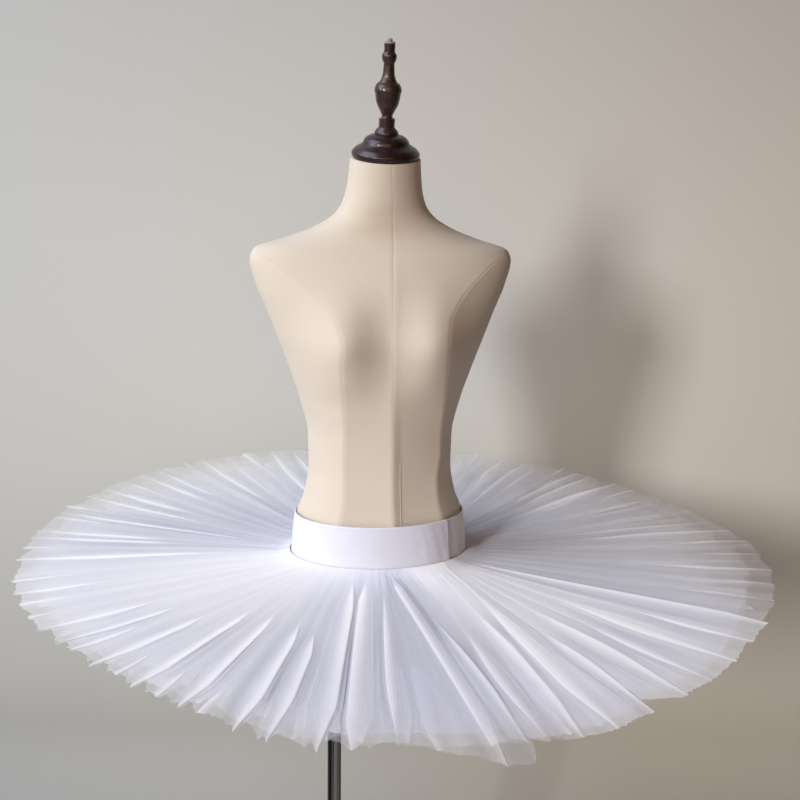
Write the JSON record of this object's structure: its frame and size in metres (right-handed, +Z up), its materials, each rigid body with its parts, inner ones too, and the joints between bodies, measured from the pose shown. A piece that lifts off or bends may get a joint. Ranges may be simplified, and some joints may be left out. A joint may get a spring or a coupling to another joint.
{
  "type": "ballet tutu on a dress form with a stand",
  "caption": "Flat pancake tutu of gathered white net under a smooth waistband, worn by a limbless linen dress form with a turned wood finial on a steel pole and round base.",
  "frame": {"origin": "on the floor under the base, straight below the middle of the dress form", "axes": "+Z up, -Y is the front of the form, +X is the form's left side"},
  "size_m": [1.0821, 1.0644, 1.6053],
  "materials": {
    "band": "smooth white sateen",
    "jersey": "plain white stretch jersey",
    "net": "stiff white net, see-through at the hem",
    "form_cover": "cream linen glued over a light shell",
    "dark_wood": "turned hardwood, dark gloss lacquer",
    "chrome": "bright chromed tube",
    "base_steel": "black powder coat"
  },
  "bodies": {
    "root": {"waistband": "band", "knickers": "jersey", "knickers_gusset": "jersey", "net_top": "net", "net_second": "net", "net_third": "net", "net_fourth": "net", "form_torso": "form_cover", "neck_finial": "dark_wood", "pole_flange": "chrome", "pole": "chrome", "base_collar": "chrome", "stand_base": "base_steel"}
  },
  "joints": []
}
